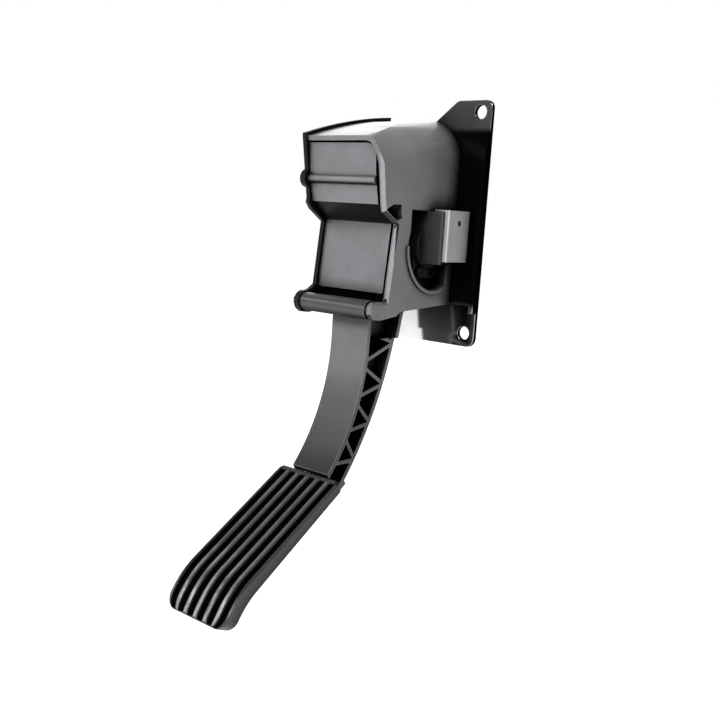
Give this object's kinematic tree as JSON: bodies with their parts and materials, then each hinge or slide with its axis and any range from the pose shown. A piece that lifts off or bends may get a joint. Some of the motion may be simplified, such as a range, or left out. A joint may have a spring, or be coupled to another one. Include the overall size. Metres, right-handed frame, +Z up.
{
  "type": "accelerator pedal",
  "caption": "Hanging accelerator pedal: steel mounting plate, moulded sensor housing, ribbed curved arm and grooved foot pad.",
  "frame": {"origin": "Back face of the mounting plate, in the middle of the housing's width, level with the middle of the two right-hand mounting holes", "axes": "+X to the driver's right, +Y forward into the bulkhead, -Y toward the driver, +Z up"},
  "size_m": [0.105, 0.1908, 0.3182],
  "materials": {
    "black_steel": "black zinc, semi-gloss",
    "black_nylon": "fine moulded grain",
    "cover_black": "smooth moulded",
    "pad_rubber": "satin",
    "stop_rubber": "matt",
    "grey_nylon": "light grey moulded",
    "bush_plastic": "natural acetal",
    "steel": "zinc plated",
    "spring_steel": "oiled",
    "board_green": "lacquered",
    "contact_brass": "tinned",
    "magnet_grey": "nickel plated"
  },
  "bodies": {
    "mount": {"mounting_plate": "black_steel", "housing": "black_nylon", "side_cover": "cover_black", "front_cover": "black_nylon", "upper_snap_pin": "cover_black", "lower_snap_pin": "cover_black", "bush_left": "bush_plastic", "bush_right": "bush_plastic", "sensor_gasket": "stop_rubber", "sensor_body": "cover_black", "sensor_board": "board_green", "connector_shell": "grey_nylon", "connector_pins": "contact_brass", "sensor_screws": "steel", "side_cover_screws": "steel", "housing_screws": "steel", "idle_stop_pad": "stop_rubber", "full_stop_pad": "stop_rubber", "spring_guide": "cover_black", "outer_spring": "spring_steel", "inner_spring": "spring_steel"},
    "pedal": {"pedal_arm": "black_nylon", "pedal_pad": "pad_rubber", "pivot_shaft": "steel", "hub_pin": "steel", "shaft_clip": "spring_steel", "magnet_holder": "cover_black", "magnet": "magnet_grey"},
    "cup": {"spring_cup": "cover_black"}
  },
  "joints": [
    {"name": "pedal_pivot", "type": "hinge", "parent": "mount", "child": "pedal", "pos_m": [0, -0.0235, -0.016], "axis": [1, 0, 0], "range_deg": [0, 18], "stiffness_Nm_per_rad": 8, "springref_deg": -28.65},
    {"name": "cup_slide", "type": "slide", "parent": "mount", "child": "cup", "axis": [0, -1, 0], "range_m": [0, 0.0136], "deforming": ["outer_spring", "inner_spring"]}
  ],
  "couplings": [
    {"joint": "cup_slide", "follows": "pedal_pivot", "m_per_rad": 0.043}
  ]
}
